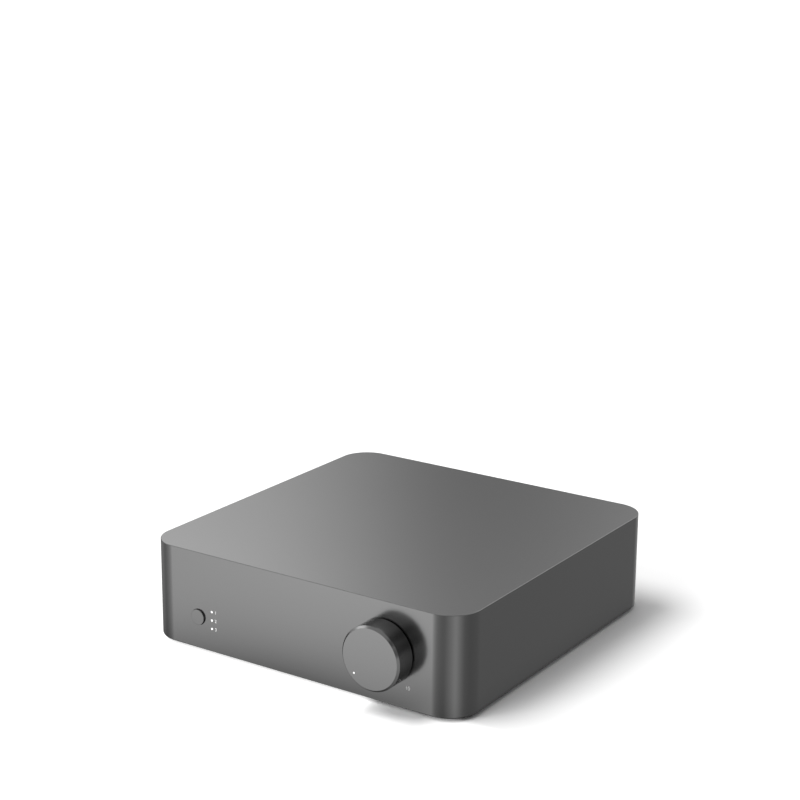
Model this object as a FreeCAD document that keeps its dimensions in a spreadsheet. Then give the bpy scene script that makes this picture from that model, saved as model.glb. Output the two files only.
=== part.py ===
import FreeCAD, Part
import math
import os
import re

import Sketcher
from FreeCAD import Placement, Rotation, Vector

# A compact stereo amplifier: a square aluminium housing with rounded corners, a large volume knob
# and a power button in front, and speaker posts and sockets at the back. Millimetres, +Z up.
# The origin is on the surface it stands on, under the middle of the housing. The front faces -Y.

SIZES = {
    # Housing: one aluminium shell, open below
    "shell_width": 200.0,
    "shell_depth": 200.0,
    "shell_height": 54.9,
    "corner_radius": 17.2,
    "side_wall": 2.5,
    "rear_wall": 3.5,
    "roof": 2.5,
    "roof_chamfer": 0.3,
    "hem_chamfer": 0.8,
    "hem_wall": 1.5,
    # Pillars in the corners of the shell take the screws of the base plate
    "pillar_radius": 4.5,
    "pillar_inset": 14.0,
    "pillar_sink": 0.5,
    # Base plate: sheet metal with slots and hexagonal standoffs
    "plate_thickness": 1.5,
    "plate_proud": 0.6,
    "plate_gap": 0.15,
    "vent_width": 3.0,
    "vent_length": 22.0,
    "vent_pitch": 8.0,
    "vent_count": 12,
    "vent_row": 40.0,
    "standoff_radius": 3.0,
    "standoff_height": 8.0,
    # Feet
    "foot_radius": 9.0,
    "foot_proud": 1.2,
    "foot_inset": 24.0,
    # Screws
    "plate_screw_radius": 1.5,
    "plate_screw_head": 2.9,
    "plate_screw_length": 7.0,
    "small_screw_radius": 1.25,
    "small_screw_head": 2.4,
    "small_screw_head_height": 1.4,
    "small_screw_length": 5.0,
    "screw_gap": 0.05,
    "screw_hole_gap": 0.2,
    "drill_depth": 8.0,
    # Volume knob and its potentiometer
    "knob_inset": 45.0,
    "knob_z": 30.1,
    "knob_radius": 17.3,
    "knob_depth": 12.6,
    "knob_gap": 0.6,
    "knob_chamfer": 1.1,
    "knob_back_chamfer": 0.4,
    "knob_face": 3.0,
    "knob_well_radius": 8.0,
    "knob_bush_length": 4.6,
    "pointer_radius": 0.7,
    "pointer_depth": 0.4,
    "pointer_reach": 13.4,
    "pointer_angle": 45.0,
    "shaft_radius": 3.0,
    "shaft_gap": 0.05,
    "shaft_in_pot": 5.0,
    "shaft_end_gap": 0.3,
    "pot_width": 17.0,
    "pot_depth": 8.0,
    "bushing_radius": 3.5,
    "bushing_length": 7.0,
    "nut_radius": 5.6,
    "nut_thickness": 2.0,
    "fit_gap": 0.05,
    # Power button and its switch
    "button_inset": 34.6,
    "button_z": 19.9,
    "button_radius": 4.6,
    "button_proud": 1.8,
    "button_edge": 0.25,
    "button_gap": 0.2,
    "button_flange_radius": 6.2,
    "button_flange": 1.0,
    "button_travel": 0.5,
    "stem_radius": 1.75,
    "switch_width": 6.2,
    "switch_depth": 3.5,
    "switch_wall": 0.6,
    # Indicator lights
    "light_offset": 9.2,
    "light_pitch": 4.8,
    "light_radius": 0.6,
    "light_gap": 0.05,
    "light_bar_width": 2.4,
    "light_to_led": 0.3,
    "led_width": 1.6,
    "led_depth": 0.8,
    # Front board
    "front_standoff": 7.0,
    "board_thickness": 1.6,
    "front_board_gap": 1.5,
    "front_board_bottom": 10.0,
    "front_board_height": 36.0,
    "front_hole_inset": 4.0,
    "front_boss_radius": 2.8,
    "pot_window_gap": 1.0,
    # Boards on the base plate
    "power_board_margin": 2.5,
    "power_board_width": 40.0,
    "board_gap": 4.0,
    "board_front_gap": 22.0,
    "board_rear_gap": 2.8,
    "board_hole_inset": 4.0,
    "board_hole_rear": 24.0,
    # Rear panel
    "panel_width": 160.0,
    "panel_height": 46.0,
    "panel_corner": 4.0,
    "panel_thickness": 1.6,
    "panel_recess": 0.6,
    "panel_gap": 0.15,
    "lip_side": 8.0,
    "lip_edge": 3.0,
    "panel_boss_radius": 3.2,
    "panel_boss_length": 6.0,
    # Mains inlet, figure-8
    "inlet_x": -58.0,
    "inlet_width": 21.0,
    "inlet_height": 13.2,
    "inlet_depth": 16.0,
    "inlet_flange": 1.6,
    "inlet_brim": 2.0,
    "inlet_corner": 2.0,
    "inlet_lobe": 4.5,
    "inlet_waist": 3.7,
    "inlet_well": 12.6,
    "pin_spacing": 8.6,
    "pin_radius": 1.18,
    "pin_recess": 3.0,
    # Speaker posts
    "post_x": -4.5,
    "post_spacing": 19.0,
    "post_z": 29.25,
    "terminal_plate_thickness": 1.2,
    "terminal_plate_margin": 9.5,
    "terminal_plate_corner": 3.0,
    "collar_radius": 7.0,
    "collar_height": 1.0,
    "boss_margin": 5.0,
    "boss_length": 0.8,
    "stud_radius": 3.0,
    "stud_gap": 0.05,
    "stud_tail": 5.0,
    "wire_hole_radius": 1.3,
    "wire_hole_height": 2.4,
    "plug_bore_radius": 2.0,
    "plug_bore_floor": 0.6,
    "post_nut_radius": 5.5,
    "post_nut_thickness": 3.0,
    "cap_radius": 6.4,
    "cap_length": 11.3,
    "cap_gap": 0.3,
    "cap_lip": 0.8,
    "cap_end": 1.7,
    "cap_edge": 0.6,
    "cap_mouth_radius": 2.4,
    "cap_flute_depth": 0.5,
    "cap_flutes": 10,
    "sleeve_radius": 4.2,
    "sleeve_gap": 0.1,
    "tip_gap": 0.2,
    # Phono sockets
    "line_x": 40.0,
    "digital_x": 53.0,
    "jack_rise": 8.0,
    "jack_pitch": 14.0,
    "jack_top": 7.5,
    "jack_width": 12.0,
    "jack_depth": 12.0,
    "barrel_radius": 4.15,
    "barrel_wall": 0.9,
    "barrel_length": 9.0,
    "barrel_gap": 0.25,
    "contact_radius": 1.65,
    "contact_depth": 9.0,
    "insert_recess": 0.5,
    # Optical socket with its shutter
    "optical_x": 66.0,
    "optical_width": 10.0,
    "optical_height": 11.0,
    "optical_depth": 12.0,
    "nose_width": 9.2,
    "port_width": 6.6,
    "port_height": 6.8,
    "port_depth": 9.5,
    "shutter_thickness": 0.8,
    "shutter_recess": 0.4,
    "shutter_gap": 0.2,
    "shutter_pin": 0.8,
    # Parts on the boards
    "chip_width": 14.0,
    "chip_height": 1.6,
    "chip_x": 12.0,
    "chip_back": 58.0,
    "sink_width": 62.0,
    "sink_length": 56.0,
    "sink_height": 24.0,
    "sink_base": 5.0,
    "fin_thickness": 2.0,
    "fin_pitch": 7.5,
    "fin_count": 9,
    "coil_x": 20.0,
    "coil_spacing": 26.0,
    "coil_back": 118.0,
    "coil_width": 17.0,
    "coil_height": 15.0,
    "coil_bevel": 1.5,
    "cap_can_radius": 8.0,
    "cap_can_height": 25.0,
    "cap_can_x": 58.0,
    "cap_can_back": 48.0,
    "cap_can_spacing": 24.0,
    "bulk_can_radius": 11.0,
    "bulk_can_height": 32.0,
    "bulk_can_back": 30.0,
    "transformer_width": 36.0,
    "transformer_length": 34.0,
    "transformer_height": 28.0,
    "transformer_back": 90.0,
    "yoke_thickness": 7.0,
    "ribbon_x": 0.0,
    "ribbon_width": 14.0,
    "ribbon_thickness": 0.8,
    "ribbon_rise": 16.0,
    "ribbon_reach": 22.0,
    "ribbon_bend": 5.0,
}

doc = FreeCAD.newDocument("stereo_amplifier")
sheet = doc.addObject("Spreadsheet::Sheet", "sizes")
for row, (alias, size) in enumerate(SIZES.items(), start=1):
    sheet.set(f"A{row}", alias)
    sheet.set(f"B{row}", str(size))
    sheet.setAlias(f"B{row}", alias)
doc.recompute()

# Heights and depths that several pieces share, worked out from the driving dimensions
SHELL_BOTTOM = "(foot_proud + plate_proud)"
REBATE = "(plate_thickness - plate_proud)"
PLATE_TOP = "(foot_proud + plate_thickness)"
SHELL_TOP = "(foot_proud + plate_proud + shell_height)"
FRONT_INSIDE = "(-shell_depth / 2 + side_wall)"
PILLAR_X = "(shell_width / 2 - pillar_inset)"
PILLAR_FRONT = "(-shell_depth / 2 + side_wall + pillar_radius - pillar_sink)"
PILLAR_REAR = "(shell_depth / 2 - rear_wall - pillar_radius + pillar_sink)"
BOARD_BOTTOM = "(foot_proud + plate_thickness + standoff_height)"
BOARD_TOP = "(foot_proud + plate_thickness + standoff_height + board_thickness)"
PANEL_FACE = "(shell_depth / 2 - panel_recess)"
PANEL_BACK = "(shell_depth / 2 - panel_recess - panel_thickness)"
PANEL_Z = "(foot_proud + plate_proud + shell_height / 2)"
FRONT_BOARD = "(-shell_depth / 2 + side_wall + front_standoff)"
COLLAR_TOP = "(shell_depth / 2 - panel_recess + terminal_plate_thickness + collar_height)"
KNOB_X = "(shell_width / 2 - knob_inset)"
BUTTON_X = "(-shell_width / 2 + button_inset)"
LIGHT_X = "(-shell_width / 2 + button_inset + light_offset)"
FRONT_BOARD_END = "(shell_width / 2 - pillar_inset - pillar_radius - front_board_gap)"
BOARD_FRONT = "(-shell_depth / 2 + board_front_gap)"
BOARD_REAR = "(shell_depth / 2 - panel_recess - panel_thickness - board_rear_gap)"
POWER_LEFT = "(inlet_x - inlet_width / 2 - power_board_margin)"
MAIN_LEFT = "(inlet_x - inlet_width / 2 - power_board_margin + power_board_width + board_gap)"
MAIN_RIGHT = "(optical_x + optical_width / 2)"

FACING = {
    "up": Rotation(),
    "front": Rotation(Vector(1, 0, 0), 90),
    "rear": Rotation(Vector(0, 1, 1), 180),
}

nodes = []
cuts = []


def bound(text):
    """An expression whose driving dimensions are read from the sheet."""
    return re.sub(r"[a-z]\w*", lambda word: "sizes." + word[0] if word[0] in SIZES else word[0], text)


def number(text):
    """What an expression comes to with the present sizes."""
    return float(sheet.evalExpression(text))


def new_body(label, place=("0", "0", "0"), facing="up", kept=True):
    body = doc.addObject("PartDesign::Body", label)
    body.Label = label
    body.Placement = Placement(Vector(), FACING[facing])
    for axis, text in zip("xyz", place):
        body.setExpression(f"Placement.Base.{axis}", bound(text))
    if kept:
        nodes.append(body)
    return body


def sketch_on(body, role, lift="0"):
    """A sketch on one of the body's own planes, lifted along the plane's normal."""
    sketch = body.newObject("Sketcher::SketchObject", body.Label + "_sketch")
    plane = next(part for part in body.Origin.OriginFeatures if part.Role == role)
    sketch.AttachmentSupport = [(plane, "")]
    sketch.MapMode = "FlatFace"
    sketch.setExpression("AttachmentOffset.Base.z", bound(lift))
    return sketch


def name_and_bind(sketch, index, text):
    sketch.renameConstraint(index, f"size{index}")
    sketch.setExpression(f"Constraints.size{index}", bound(text))


def hold(sketch, geometry, end, x, y):
    """Hold one end of a line, or a centre, at x and y from the sketch's origin."""
    for kind, text in (("DistanceX", x), ("DistanceY", y)):
        index = sketch.addConstraint(Sketcher.Constraint(kind, -1, 1, geometry, end, number(text)))
        name_and_bind(sketch, index, text)


def polygon(sketch, corners):
    first = sketch.GeometryCount
    points = [Vector(number(x), number(y), 0) for x, y in corners]
    count = len(points)
    sketch.addGeometry([Part.LineSegment(points[i], points[(i + 1) % count]) for i in range(count)], False)
    for i, (x, y) in enumerate(corners):
        sketch.addConstraint(Sketcher.Constraint("Coincident", first + i, 2, first + (i + 1) % count, 1))
        hold(sketch, first + i, 1, x, y)


def hexagon(sketch, radius, x="0", y="0"):
    """A nut's outline about (x, y), with its corners on a circle."""
    polygon(sketch, [(f"{x} + {radius} * cos({60 * k} deg)", f"{y} + {radius} * sin({60 * k} deg)")
                     for k in range(6)])


def rectangle(sketch, x, y, width, height):
    left, right = f"{x} - ({width}) / 2", f"{x} + ({width}) / 2"
    low, high = f"{y} - ({height}) / 2", f"{y} + ({height}) / 2"
    polygon(sketch, [(left, low), (right, low), (right, high), (left, high)])


def circle(sketch, x, y, radius):
    centre = Vector(number(x), number(y), 0)
    index = sketch.addGeometry(Part.Circle(centre, Vector(0, 0, 1), number(radius)), False)
    hold(sketch, index, 3, x, y)
    size = sketch.addConstraint(Sketcher.Constraint("Radius", index, number(radius)))
    name_and_bind(sketch, size, radius)


def rounded(sketch, x, y, width, height, radius):
    """A rectangle about (x, y) whose corners are tangent arcs."""
    first = sketch.GeometryCount
    half = {"x": f"({width}) / 2", "y": f"({height}) / 2"}
    near = {"x": f"(({width}) / 2 - ({radius}))", "y": f"(({height}) / 2 - ({radius}))"}
    corners = []
    for sx, sy in ((1, 1), (-1, 1), (-1, -1), (1, -1)):
        side = (f"{x} + {sx} * {half['x']}", f"{y} + {sy} * {near['y']}")
        end = (f"{x} + {sx} * {near['x']}", f"{y} + {sy} * {half['y']}")
        corners.append((side, end) if sx == sy else (end, side))
    r = number(radius)
    for i, (start, finish) in enumerate(corners):
        a = Vector(number(start[0]), number(start[1]), 0)
        b = Vector(number(finish[0]), number(finish[1]), 0)
        middle = Vector(a.x if i % 2 else b.x, b.y if i % 2 else a.y, 0)
        turn = i * math.pi / 2
        arc = Part.ArcOfCircle(Part.Circle(middle, Vector(0, 0, 1), r), turn, turn + math.pi / 2)
        sketch.addGeometry(arc, False)
        after = corners[(i + 1) % 4][0]
        sketch.addGeometry(Part.LineSegment(b, Vector(number(after[0]), number(after[1]), 0)), False)
    for i, (start, finish) in enumerate(corners):
        arc = first + 2 * i
        line = arc + 1
        following = first + (2 * i + 2) % 8
        hold(sketch, line, 1, *finish)
        sketch.addConstraint(Sketcher.Constraint("Tangent", arc, 2, line, 1))
        sketch.addConstraint(Sketcher.Constraint("Coincident", line, 2, following, 1))
        hold(sketch, line, 2, *corners[(i + 1) % 4][0])


def pad(body, sketch, length, backwards=False):
    feature = body.newObject("PartDesign::Pad", body.Label + "_pad")
    feature.Profile = sketch
    feature.setExpression("Length", bound(length))
    feature.Reversed = backwards
    return feature


def pocket(body, sketch, depth, backwards=False, taper=0):
    feature = body.newObject("PartDesign::Pocket", body.Label + "_pocket")
    feature.Profile = sketch
    feature.setExpression("Length", bound(depth))
    feature.Reversed = backwards
    feature.TaperAngle = taper
    cuts.append(feature)
    return feature


def turned(label, profile, place, facing="up", kept=True):
    """A piece turned about its own Z axis, from (radius, height) corners."""
    body = new_body(label, place, facing, kept)
    sketch = sketch_on(body, "XZ_Plane")
    polygon(sketch, profile)
    spin = body.newObject("PartDesign::Revolution", label + "_turned")
    spin.Profile = sketch
    spin.ReferenceAxis = (sketch, ["V_Axis"])
    spin.Angle = 360
    return body


def edges_where(feature, test):
    doc.recompute()
    return [f"Edge{i}" for i, edge in enumerate(feature.Shape.Edges, start=1) if test(edge)]


def dress(body, feature, size, test):
    """A chamfer on the edges of a feature that pass the test."""
    chamfer = body.newObject("PartDesign::Chamfer", body.Label + "_chamfer")
    chamfer.Base = (feature, edges_where(feature, test))
    chamfer.setExpression("Size", bound(size))
    return chamfer


def flat_at(height):
    """A test for edges that lie level at a height of the body's own frame."""
    level = number(height)
    return lambda edge: abs(edge.BoundBox.ZMin - level) < 1e-4 and abs(edge.BoundBox.ZMax - level) < 1e-4


def group(label, members):
    """Several like pieces that share one node."""
    compound = doc.addObject("Part::Compound", label)
    compound.Label = label
    compound.Links = members
    nodes.append(compound)
    return compound


# Housing shell: outside, cavity, the rebate for the base plate, pillars, bosses and openings
shell = new_body("housing_shell")
outline = sketch_on(shell, "XY_Plane", SHELL_BOTTOM)
rounded(outline, "0", "0", "shell_width", "shell_depth", "corner_radius")
outside = pad(shell, outline, "shell_height")
outside = dress(shell, outside, "roof_chamfer", flat_at(SHELL_TOP))
dress(shell, outside, "hem_chamfer", flat_at(SHELL_BOTTOM))

cavity = sketch_on(shell, "XY_Plane", SHELL_BOTTOM)
cavity_depth = "shell_depth - side_wall - rear_wall"
rounded(cavity, "0", "(side_wall - rear_wall) / 2", "shell_width - 2 * side_wall", cavity_depth,
        "corner_radius - side_wall")
pocket(shell, cavity, "shell_height - roof", backwards=True)

rebate = sketch_on(shell, "XY_Plane", SHELL_BOTTOM)
rounded(rebate, "0", "0", "shell_width - 2 * hem_wall", "shell_depth - 2 * hem_wall",
        "corner_radius - hem_wall")
pocket(shell, rebate, REBATE, backwards=True)

PILLARS = [(side + PILLAR_X, y) for side in ("-", "") for y in (PILLAR_FRONT, PILLAR_REAR)]
pillars = sketch_on(shell, "XY_Plane", PLATE_TOP)
for x, y in PILLARS:
    circle(pillars, x, y, "pillar_radius")
pad(shell, pillars, f"shell_height - {REBATE} - roof / 2")

FRONT_HOLES = [(x, "(front_board_bottom + front_board_height / 2)")
               for x in (f"(front_hole_inset - {FRONT_BOARD_END})", f"({FRONT_BOARD_END} - front_hole_inset)")]
bosses = sketch_on(shell, "XZ_Plane", "shell_depth / 2 - side_wall / 2")
for x, z in FRONT_HOLES:
    circle(bosses, x, z, "front_boss_radius")
pad(shell, bosses, "side_wall / 2 + front_standoff", backwards=True)
boss_holes = sketch_on(shell, "XZ_Plane", "-" + FRONT_BOARD)
for x, z in FRONT_HOLES:
    circle(boss_holes, x, z, "small_screw_radius + screw_gap")
pocket(shell, boss_holes, "small_screw_length", backwards=True)

front_openings = sketch_on(shell, "XZ_Plane", "shell_depth / 2")
circle(front_openings, KNOB_X, "knob_z", "bushing_radius + fit_gap")
circle(front_openings, BUTTON_X, "button_z", "button_radius + button_gap")
LIGHTS = [f"button_z + {step} * light_pitch" for step in (1, 0, -1)]
for z in LIGHTS:
    circle(front_openings, LIGHT_X, z, "light_radius + light_gap")
pocket(shell, front_openings, "side_wall")

PANEL_SCREWS = [(f"{sx} * (panel_width - lip_side) / 2", f"{PANEL_Z} + {sz} * (panel_height - lip_side) / 2")
                for sx in (-1, 1) for sz in (-1, 1)]
panel_bosses = sketch_on(shell, "XZ_Plane", "rear_wall - shell_depth / 2")
for x, z in PANEL_SCREWS:
    circle(panel_bosses, x, z, "panel_boss_radius")
pad(shell, panel_bosses, "panel_boss_length")
window = sketch_on(shell, "XZ_Plane", "-shell_depth / 2")
rounded(window, "0", PANEL_Z, "panel_width", "panel_height", "panel_corner")
pocket(shell, window, "panel_recess + panel_thickness", backwards=True)
opening = sketch_on(shell, "XZ_Plane", "-shell_depth / 2")
rounded(opening, "0", PANEL_Z, "panel_width - 2 * lip_side", "panel_height - 2 * lip_edge", "panel_corner")
pocket(shell, opening, "rear_wall", backwards=True)
panel_drills = sketch_on(shell, "XZ_Plane", "-" + PANEL_BACK)
for x, z in PANEL_SCREWS:
    circle(panel_drills, x, z, "small_screw_radius + screw_gap")
pocket(shell, panel_drills, "small_screw_length", backwards=True)
drilled = sketch_on(shell, "XY_Plane", PLATE_TOP)
for x, y in PILLARS:
    circle(drilled, x, y, "plate_screw_radius + screw_gap")
pocket(shell, drilled, "drill_depth", backwards=True)

# Base plate: rounded sheet with hexagonal standoffs for the boards, slots and screw holes
plate = new_body("base_plate")
sheet_outline = sketch_on(plate, "XY_Plane", "foot_proud")
plate_margin = "2 * (hem_wall + plate_gap)"
rounded(sheet_outline, "0", "0", f"shell_width - {plate_margin}", f"shell_depth - {plate_margin}",
        "corner_radius - hem_wall - plate_gap")
pad(plate, sheet_outline, "plate_thickness")

# The left and right ends of each board: the power board starts beside the mains inlet, and the main
# board ends with the outermost socket that it carries
BOARDS = {
    "power_board": (POWER_LEFT, f"({POWER_LEFT} + power_board_width)"),
    "main_board": (MAIN_LEFT, MAIN_RIGHT),
}


def board_corners(left, right):
    """Where a board on the base plate stands on its four standoffs."""
    xs = (f"({left} + board_hole_inset)", f"({right} - board_hole_inset)")
    ys = (f"({BOARD_FRONT} + board_hole_inset)", f"({BOARD_REAR} - board_hole_rear)")
    return [(x, y) for x in xs for y in ys]


def screwed_corners(left, right):
    """The two opposite corners where the board is screwed down."""
    corners = board_corners(left, right)
    return [corners[0], corners[3]]


standoffs = sketch_on(plate, "XY_Plane", PLATE_TOP)
for ends in BOARDS.values():
    for x, y in board_corners(*ends):
        hexagon(standoffs, "standoff_radius", x, y)
pad(plate, standoffs, "standoff_height")
standoff_drills = sketch_on(plate, "XY_Plane", BOARD_BOTTOM)
for ends in BOARDS.values():
    for x, y in screwed_corners(*ends):
        circle(standoff_drills, x, y, "small_screw_radius + screw_gap")
pocket(plate, standoff_drills, "small_screw_length")

FEET = {
    "foot_front_left": ("(-shell_width / 2 + foot_inset)", "(-shell_depth / 2 + foot_inset)"),
    "foot_front_right": ("(shell_width / 2 - foot_inset)", "(-shell_depth / 2 + foot_inset)"),
    "foot_rear_left": ("(-shell_width / 2 + foot_inset)", "(shell_depth / 2 - foot_inset)"),
    "foot_rear_right": ("(shell_width / 2 - foot_inset)", "(shell_depth / 2 - foot_inset)"),
}

# Countersunk holes: a cone from the underside, then the clearance hole through the rest
cones = sketch_on(plate, "XY_Plane", "foot_proud")
screw_holes = sketch_on(plate, "XY_Plane", "foot_proud")
for x, y in PILLARS:
    circle(cones, x, y, "plate_screw_head + screw_gap")
    circle(screw_holes, x, y, "plate_screw_radius + screw_gap")
pocket(plate, cones, "plate_screw_head - plate_screw_radius", backwards=True, taper=-45)
pocket(plate, screw_holes, "plate_thickness", backwards=True)

vent = sketch_on(plate, "XY_Plane", "foot_proud")
first_vent = "-(vent_count - 1) * vent_pitch / 2"
for y in ("-vent_row", "vent_row"):
    rectangle(vent, first_vent, y, "vent_width", "vent_length")
one_vent = pocket(plate, vent, "plate_thickness", backwards=True)
vents = plate.newObject("PartDesign::LinearPattern", "base_plate_vents")
vents.Originals = [one_vent]
vents.Direction = (vent, ["H_Axis"])
vents.setExpression("Length", bound("(vent_count - 1) * vent_pitch"))
vents.setExpression("Occurrences", bound("vent_count"))
plate.Tip = vents

# Feet: rubber pads glued under the base plate
for label, (x, y) in FEET.items():
    turned(label, [("0", "0"), ("foot_radius", "0"), ("foot_radius", "foot_proud"), ("0", "foot_proud")],
           (x, y, "0"))


def small_screw(label, place, facing):
    """A pan-head screw whose head stands on z 0 of its own frame and whose shank points down."""
    return turned(label, [
        ("0", "-small_screw_length + board_thickness + screw_gap"),
        ("small_screw_radius", "-small_screw_length + board_thickness + screw_gap"),
        ("small_screw_radius", "0"),
        ("small_screw_head", "0"),
        ("small_screw_head", "small_screw_head_height"),
        ("0", "small_screw_head_height"),
    ], place, facing, kept=False)


plate_screws = []
for i, (x, y) in enumerate(PILLARS):
    plate_screws.append(turned(f"plate_screw_{i + 1}", [
        ("0", "0"),
        ("plate_screw_head", "0"),
        ("plate_screw_radius", "plate_screw_head - plate_screw_radius"),
        ("plate_screw_radius", "plate_screw_length"),
        ("0", "plate_screw_length"),
    ], (x, y, "foot_proud"), kept=False))
group("base_plate_screws", plate_screws)

# Rear panel: a plate in the window's rebate, with openings for what stands behind and through it
POSTS = [f"(post_x + {step} * post_spacing)" for step in (-1.5, -0.5, 0.5, 1.5)]
LINE_Z = [f"({BOARD_TOP} + jack_rise + {step} * jack_pitch)" for step in (0, 1)]
DIGITAL_Z = f"({BOARD_TOP} + jack_rise)"
JACKS = {
    "line_jack_right": ("line_x", LINE_Z[0]),
    "line_jack_left": ("line_x", LINE_Z[1]),
    "digital_jack": ("digital_x", DIGITAL_Z),
}
INLET_Z = f"({BOARD_TOP} + inlet_height / 2)"
OPTICAL_Z = f"({BOARD_TOP} + optical_height / 2)"

panel = new_body("rear_panel")
panel_outline = sketch_on(panel, "XZ_Plane", "-" + PANEL_FACE)
rounded(panel_outline, "0", PANEL_Z, "panel_width - 2 * panel_gap", "panel_height - 2 * panel_gap",
        "panel_corner - panel_gap")
pad(panel, panel_outline, "panel_thickness")
panel_holes = sketch_on(panel, "XZ_Plane", "-" + PANEL_FACE)
for x, z in PANEL_SCREWS:
    circle(panel_holes, x, z, "small_screw_radius + screw_hole_gap")
rectangle(panel_holes, "post_x", "post_z", "3 * post_spacing + 2 * boss_margin + 2 * panel_gap",
          "2 * boss_margin + 2 * panel_gap")
for x, z in JACKS.values():
    circle(panel_holes, x, z, "barrel_radius - barrel_gap + fit_gap")
rounded(panel_holes, "inlet_x", INLET_Z, "inlet_width + 2 * panel_gap", "inlet_height + 2 * panel_gap",
        "inlet_corner")
rectangle(panel_holes, "optical_x", OPTICAL_Z, "nose_width + 2 * panel_gap", "nose_width + 2 * panel_gap")
pocket(panel, panel_holes, "panel_thickness", backwards=True)

group("rear_panel_screws", [
    small_screw(f"panel_screw_{i + 1}", (x, PANEL_FACE, z), "rear") for i, (x, z) in enumerate(PANEL_SCREWS)
])

# Mains inlet: a moulded block with a brim outside and a figure-8 well, and two pins
inlet = new_body("mains_inlet", ("inlet_x", PANEL_FACE, INLET_Z), "rear")
block = sketch_on(inlet, "XY_Plane", "-inlet_depth")
rounded(block, "0", "0", "inlet_width", "inlet_height", "inlet_corner - panel_gap")
pad(inlet, block, "inlet_depth + inlet_flange / 2")
brim = sketch_on(inlet, "XY_Plane")
rounded(brim, "0", "0", "inlet_width + 2 * inlet_brim", "inlet_height + 2 * inlet_brim",
        "inlet_corner + inlet_brim / 2")
pad(inlet, brim, "inlet_flange")
for side in (-1, 1):
    lobe = sketch_on(inlet, "XY_Plane", "inlet_flange")
    circle(lobe, f"{side} * pin_spacing / 2", "0", "inlet_lobe")
    pocket(inlet, lobe, "inlet_well")
waist = sketch_on(inlet, "XY_Plane", "inlet_flange")
rectangle(waist, "0", "0", "pin_spacing", "2 * inlet_waist")
pocket(inlet, waist, "inlet_well")
pin_holes = sketch_on(inlet, "XY_Plane", "-inlet_depth")
for side in (-1, 1):
    circle(pin_holes, f"{side} * pin_spacing / 2", "0", "pin_radius + fit_gap / 2")
pocket(inlet, pin_holes, "inlet_depth", backwards=True)

group("inlet_pins", [
    turned(f"inlet_pin_{name}", [
        ("0", "-inlet_depth"),
        ("pin_radius", "-inlet_depth"),
        ("pin_radius", "inlet_flange - pin_recess"),
        ("0", "inlet_flange - pin_recess"),
    ], (f"inlet_x + {side} * pin_spacing / 2", PANEL_FACE, INLET_Z), "rear", kept=False)
    for name, side in (("left", -1), ("right", 1))
])

# Terminal plate: one moulding outside the panel, with a collar for each speaker post and a boss that
# reaches through the panel
terminals = new_body("terminal_plate", ("post_x", PANEL_FACE, "post_z"), "rear")
terminal_outline = sketch_on(terminals, "XY_Plane")
rounded(terminal_outline, "0", "0", "3 * post_spacing + 2 * terminal_plate_margin",
        "2 * terminal_plate_margin", "terminal_plate_corner")
pad(terminals, terminal_outline, "terminal_plate_thickness")
PLACES_ON_PLATE = [f"{step} * post_spacing" for step in (-1.5, -0.5, 0.5, 1.5)]
collars = sketch_on(terminals, "XY_Plane", "terminal_plate_thickness")
boss = sketch_on(terminals, "XY_Plane")
rectangle(boss, "0", "0", "3 * post_spacing + 2 * boss_margin", "2 * boss_margin")
stud_holes = sketch_on(terminals, "XY_Plane", "terminal_plate_thickness + collar_height")
for x in PLACES_ON_PLATE:
    circle(collars, x, "0", "collar_radius")
    circle(stud_holes, x, "0", "stud_radius + stud_gap")
pad(terminals, collars, "collar_height")
pad(terminals, boss, "panel_thickness + boss_length", backwards=True)
pocket(terminals, stud_holes, "terminal_plate_thickness + collar_height + panel_thickness + boss_length")

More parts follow.
